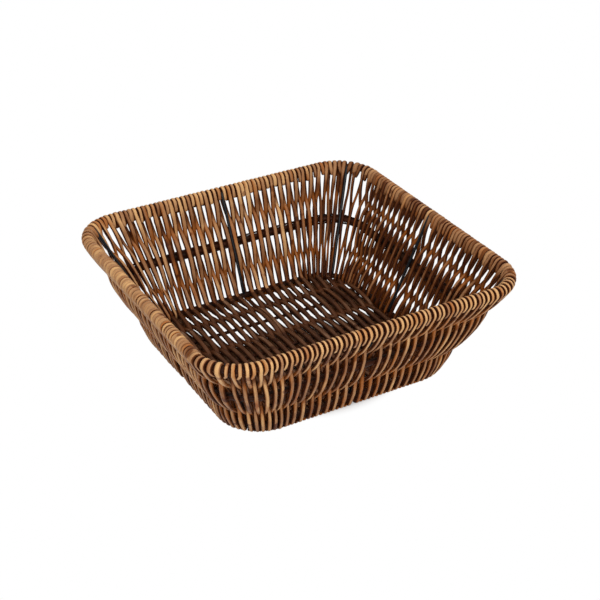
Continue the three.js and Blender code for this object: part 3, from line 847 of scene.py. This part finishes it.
SIDE_NAMES = ["right", "back", "left", "front"]
strands_in = {}
for side in range(4):
    key = "y" if side % 2 == 0 else "x"
    name = SIDE_NAMES[side]
    for half in (-1, 1):
        neighbour = SIDE_NAMES[(side + half) % 4]
        for number in range(HALF_WALL_STRANDS[key]):
            outside = 1 if (number + side) % 2 else -1
            runs_on = key == "x" and number <= LAST_RUNNING_STRAND
            at_corner = number >= STRAIGHT_STRANDS[key]
            path, across = wall_strand(side, half, number, outside, runs_on)
            marks = wall_marks(side, half, number, path, outside)
            if at_corner:
                first, second = (neighbour, name) if side % 2 == 0 else (name, neighbour)
                node = f"{first}_{second}_corner_weave_on_{name}"
            else:
                node = f"{name}_weave_{neighbour}_half"
            width = strand_width(side, number, key, path[:, 2])
            if at_corner and (side, half) in OPEN_CORNER:
                width = width * OPEN_CORNER_WIDTH
            at_loop = np.clip((path[:, 2] - LOOP_FROM_HEIGHT) / LOOP_WITHIN, 0, 1)
            loop_width = CORNER_LOOP_HALF_WIDTH if at_corner else STRAND_HALF_WIDTH
            width = width + (LOOP_SHARE[side] * loop_width - width) * at_loop
            if outside < 0 and not runs_on:
                width[-len(HOOK_THINNING):] *= HOOK_THINNING
            strands_in.setdefault(node, []).append(cane(path, across, marks, width))
            if outside < 0 and runs_on:
                path, across = tucked_tail(side, half, number)
                marks = (TUCKED_TONE + rng.normal(0, TUCKED_TONE_SPREAD), 0.0, 0.0)
                strands_in[node].append(cane(path, across, marks, TUCKED_HALF_WIDTH))

for node, strands in strands_in.items():
    weave_piece = piece_of(node + "_strands", strands, strand_finish)
    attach(weave_piece, "root")
    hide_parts(node)

# The base strands
# The same cane, from front to back. Most are the long walls' own strands, which run on
# over and under the base rods; the outer ones are let in beside them.
HALF_BASE_STRANDS = 25
MIDDLE_STRIP_STRANDS = 12
BASE_HALF_WIDTH = 2.95 * MM
BASE_LIFT = BASE_ROD_RADIUS + STRAND_HALF_THICK
BASE_END_LIFT = 4.2 * MM
# How far from the base's middle the rods, the crossings between them and the ring are,
# and from where on a running strand leaves its even place for the one at the ring
BASE_STOPS = np.array([0, 27, 54, 80, 114]) * MM
BASE_SHIFT_FROM = 70 * MM
BASE_SWAY = 0.4 * MM
BASE_SWAY_SPACING = 30 * MM
BASE_CROSSING_WIDTH = 0.93
BASE_TONE = 0.28
BASE_TONE_SPREAD = 0.07

base_colours = dict(strand_colours)
base_colours["Black Stain"] = (0.030, 0.008, 0.002, 1)
base_colours["Brown Stain"] = (0.098, 0.038, 0.015, 1)
base_colours["Tan"] = (0.30, 0.17, 0.10, 1)
base_colours["Red Patch"] = (0.085, 0.024, 0.006, 1)
base_colours["Patchiness"] = 0.5
base_colours["Streaks"] = 0.85
base_finish = cane_material("dark_base_strand_finish", base_colours, 0.7)


def base_strand(half, number, outside, runs_on):
    """The middle line of one base strand, from the front to the back of the ring."""
    x_even = half * (number + 0.5) * BASE_PITCH
    edge_x = half * base_place(number, "x") if runs_on else x_even
    beyond = max(abs(edge_x) + BASE_HALF_WIDTH - BASE["x"], 0.0)
    bend = BASE["radius"] - BASE_PIECE_EDGE
    reach = BASE["y"] + math.sqrt(max(bend**2 - beyond**2, 0.0))
    y = np.linspace(-reach, reach, 70)
    phase = np.interp(np.abs(y), BASE_STOPS, [2.0, 1.5, 1.0, 0.5, 0.0])
    share = side_share(phase)
    lift = -outside * share * np.interp(phase, [0, 1], [BASE_END_LIFT, BASE_LIFT])
    blend = np.clip((np.abs(y) - BASE_SHIFT_FROM) / (reach - BASE_SHIFT_FROM), 0, 1)
    sway = wander(y + reach, BASE_SWAY_SPACING, BASE_SWAY)
    x = x_even + (edge_x - x_even) * blend**2 + sway
    path = np.stack([x, y, BASE_HEIGHT + lift], 1)
    crossing_share = BASE_CROSSING_WIDTH + (1 - BASE_CROSSING_WIDTH) * np.abs(share)
    across = np.tile([1.0, 0.0, 0.0], (len(path), 1))
    return path, across, BASE_HALF_WIDTH * crossing_share, outside * share


LOWER_LAYER_FRONT = -117 * MM
LOWER_LAYER_BACK = 28 * MM
FIRST_FULL_LOWER_PAIR = 8
LOWER_LAYER_HEIGHT = 2.0 * MM
LOWER_HALF_THICK = 1.3 * MM
LOWER_HALF_WIDTH = 3.3 * MM
LOWER_EDGE_ROOM = 2 * MM
LOWER_SWAY = 0.25 * MM
LOWER_SWAY_SPACING = 30 * MM
LOWER_TONE = 0.40


def lower_strand(half, pair):
    """A strand of the lower layer, a guess: under the front third and along the sides
    the photo shows dark strands in the gaps. It winds under the high one of a pair."""
    pair_edge = (2 * pair + 2) * BASE_PITCH
    beyond = max(pair_edge - BASE["x"], 0.0)
    bend = BASE["radius"] - LOWER_EDGE_ROOM
    reach = BASE["y"] + math.sqrt(max(bend**2 - beyond**2, 0.0))
    back = reach if pair >= FIRST_FULL_LOWER_PAIR else LOWER_LAYER_BACK
    y = np.linspace(max(LOWER_LAYER_FRONT, -reach), back, 40)
    pair_middle = half * (2 * pair + 1) * BASE_PITCH
    swing = np.cos(math.pi * y / BASE_ROD_SPACING) * BASE_PITCH / 2
    x = pair_middle + half * swing + wander(y - y[0], LOWER_SWAY_SPACING, LOWER_SWAY)
    path = np.stack([x, y, np.full_like(y, LOWER_LAYER_HEIGHT)], 1)
    return path, np.tile([1.0, 0.0, 0.0], (len(path), 1))


base_strands_in = {}
for half in (-1, 1):
    word = "left" if half < 0 else "right"
    for number in range(HALF_BASE_STRANDS):
        outside = -1 if number % 2 else 1
        runs_on = number <= LAST_RUNNING_STRAND
        path, across, width, exposed = base_strand(half, number, outside, runs_on)
        strip = "middle_" if number < MIDDLE_STRIP_STRANDS else ""
        strip_strands = base_strands_in.setdefault(f"base_weave_{strip}{word}", [])
        marks = (BASE_TONE + rng.normal(0, BASE_TONE_SPREAD), exposed, 0.0)
        strip_strands.append(cane(path, across, marks, width))
        if number % 2 == 0:
            path, across = lower_strand(half, number // 2)
            marks = (LOWER_TONE, -1.0, 0.0)
            strip_strands.append(cane(path, across, marks, LOWER_HALF_WIDTH, LOWER_HALF_THICK))

for node, strands in base_strands_in.items():
    weave_piece = piece_of(node + "_strands", strands, base_finish)
    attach(weave_piece, "root")
    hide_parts(node)

# The table and the light
# A plain white table that shows white to the camera, and the basket's own shadow under
# its front half. Large soft lamps hang near the camera, to the right and above.
TABLE_HALF_SIZE = 8
TABLE_DROP = 0.1 * MM
TABLE_PAINT = (0.8, 0.8, 0.8, 1)
WHITE = (1, 1, 1, 1)
# Round a spot just in front of the basket's middle the table shows the shadow, and farther
# away plain white
SHADOW_SHIFT = (0.0, 0.42, 0.0)
SHADOW_SCALE = (9.0, 11.0, 1.0)
ROOM_LIGHT = 0.4
ROOM_SEEN_MORE = 0.6

floor_mesh = bpy.data.meshes.new("floor")
floor_corners = [(-1, -1), (1, -1), (1, 1), (-1, 1)]
floor_corners = [(x * TABLE_HALF_SIZE, y * TABLE_HALF_SIZE, 0) for x, y in floor_corners]
floor_mesh.from_pydata(floor_corners, [], [(0, 1, 2, 3)])
floor = bpy.data.objects.new("floor", floor_mesh)
floor.location.z = -TABLE_DROP
bpy.context.scene.collection.objects.link(floor)

floor_finish = bpy.data.materials.new("white_table")
floor_finish.use_nodes = True
floor_tree = floor_finish.node_tree
floor_tree.nodes.clear()
floor_output = floor_tree.nodes.new("ShaderNodeOutputMaterial")
paint = floor_tree.nodes.new("ShaderNodeBsdfDiffuse")
paint.inputs["Color"].default_value = TABLE_PAINT
shine = floor_tree.nodes.new("ShaderNodeEmission")
shine.inputs["Color"].default_value = WHITE
ray = floor_tree.nodes.new("ShaderNodeLightPath")
spot = floor_tree.nodes.new("ShaderNodeTexCoord")
centred_spot = floor_tree.nodes.new("ShaderNodeMapping")
centred_spot.vector_type = "POINT"
centred_spot.inputs["Location"].default_value = SHADOW_SHIFT
centred_spot.inputs["Scale"].default_value = SHADOW_SCALE
join(floor_tree, spot.outputs["Object"], centred_spot.inputs["Vector"])
away = floor_tree.nodes.new("ShaderNodeVectorMath")
away.operation = "LENGTH"
join(floor_tree, centred_spot.outputs["Vector"], away.inputs[0])
clear = ramp_between(floor_tree, away.outputs["Value"], 0.75, 1.0, 0.0, 1.0)
seen = math_node(floor_tree, "MAXIMUM", ray.outputs["Is Camera Ray"], ray.outputs["Is Glossy Ray"])
seen = math_node(floor_tree, "MAXIMUM", seen, ray.outputs["Is Transmission Ray"])
blend_shaders = floor_tree.nodes.new("ShaderNodeMixShader")
join(floor_tree, math_node(floor_tree, "MULTIPLY", seen, clear), blend_shaders.inputs[0])
join(floor_tree, paint.outputs[0], blend_shaders.inputs[1])
join(floor_tree, shine.outputs[0], blend_shaders.inputs[2])
join(floor_tree, blend_shaders.outputs[0], floor_output.inputs["Surface"])
floor_mesh.materials.append(floor_finish)

room = bpy.data.worlds.new("room")
bpy.context.scene.world = room
room.use_nodes = True
room_tree = room.node_tree
room_light = room_tree.nodes["Background"]
room_light.inputs["Color"].default_value = WHITE
room_ray = room_tree.nodes.new("ShaderNodeLightPath")
to_camera = room_ray.outputs["Is Camera Ray"]
to_gloss = room_ray.outputs["Is Glossy Ray"]
room_seen = math_node(room_tree, "MAXIMUM", to_camera, to_gloss)
room_level = math_node(room_tree, "MULTIPLY", room_seen, ROOM_SEEN_MORE)
room_level = math_node(room_tree, "ADD", room_level, ROOM_LIGHT)
join(room_tree, room_level, room_light.inputs["Strength"])

# Each lamp's place in metres, its width and its power
lamps = [
    ("key_lamp", (-0.75, -1.5, 1.35), 1.1, 26.0),
    ("side_lamp", (1.6, -0.5, 1.1), 1.2, 7.0),
    ("top_lamp", (0.1, 0.2, 1.9), 1.4, 8.0),
]
for lamp_name, place, width, power in lamps:
    lamp_data = bpy.data.lights.new(lamp_name, "AREA")
    lamp_data.size = width
    lamp_data.energy = power
    lamp = bpy.data.objects.new(lamp_name, lamp_data)
    lamp.location = place
    lamp.rotation_euler = (-Vector(place)).to_track_quat("-Z", "Y").to_euler()
    bpy.context.scene.collection.objects.link(lamp)

bpy.context.scene.view_settings.view_transform = "Standard"
